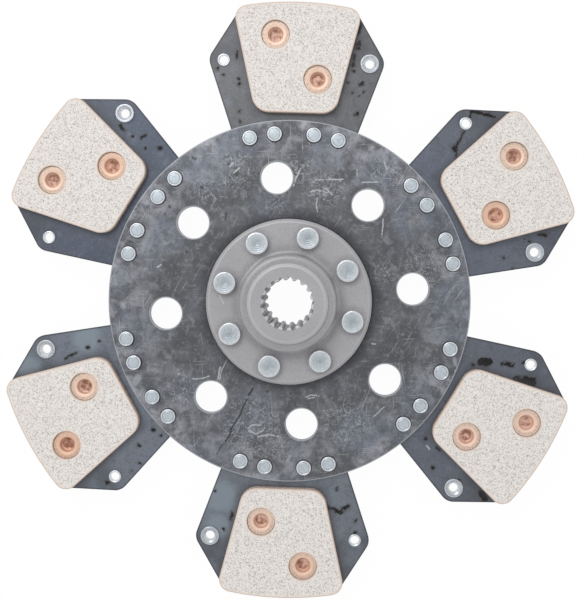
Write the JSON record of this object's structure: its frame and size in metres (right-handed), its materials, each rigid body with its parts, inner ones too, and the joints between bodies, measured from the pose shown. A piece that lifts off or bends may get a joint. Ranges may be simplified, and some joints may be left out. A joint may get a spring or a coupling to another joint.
{
  "type": "clutch disc",
  "caption": "Rigid dry clutch disc: splined hub riveted to a flat steel plate that carries radial paddles with sintered friction pads on both faces.",
  "frame": {"origin": "on the shaft's axis, in the middle of the friction thickness, where the two sheets of each paddle meet", "axes": "+Z along the shaft's axis towards the long side of the hub, +Y along the middle of paddle 1"},
  "size_m": [0.2926, 0.31, 0.0345],
  "materials": {
    "hub_steel": "matt forged and turned steel",
    "plate_steel": "dark rolled steel, oiled and scratched",
    "sheet_steel": "hardened spring steel, blue-grey with oil stains",
    "zinc_rivet": "bright zinc plate",
    "sintered_pad": "matt sintered copper-ceramic mix with fine dark speckle",
    "copper_rivet": "soft matt copper"
  },
  "bodies": {
    "root": {"hub": "hub_steel", "driven_plate": "plate_steel", "hub_rivets": "zinc_rivet", "paddle_rivets": "zinc_rivet", "front_sheet_1": "sheet_steel", "front_pad_1": "sintered_pad", "front_sheet_2": "sheet_steel", "front_pad_2": "sintered_pad", "front_sheet_3": "sheet_steel", "front_pad_3": "sintered_pad", "front_sheet_4": "sheet_steel", "front_pad_4": "sintered_pad", "front_sheet_5": "sheet_steel", "front_pad_5": "sintered_pad", "front_sheet_6": "sheet_steel", "front_pad_6": "sintered_pad", "front_pad_rivets": "copper_rivet", "front_ear_rivets": "zinc_rivet", "back_sheet_1": "sheet_steel", "back_pad_1": "sintered_pad", "back_sheet_2": "sheet_steel", "back_pad_2": "sintered_pad", "back_sheet_3": "sheet_steel", "back_pad_3": "sintered_pad", "back_sheet_4": "sheet_steel", "back_pad_4": "sintered_pad", "back_sheet_5": "sheet_steel", "back_pad_5": "sintered_pad", "back_sheet_6": "sheet_steel", "back_pad_6": "sintered_pad", "back_pad_rivets": "copper_rivet", "back_ear_rivets": "zinc_rivet"}
  },
  "joints": []
}
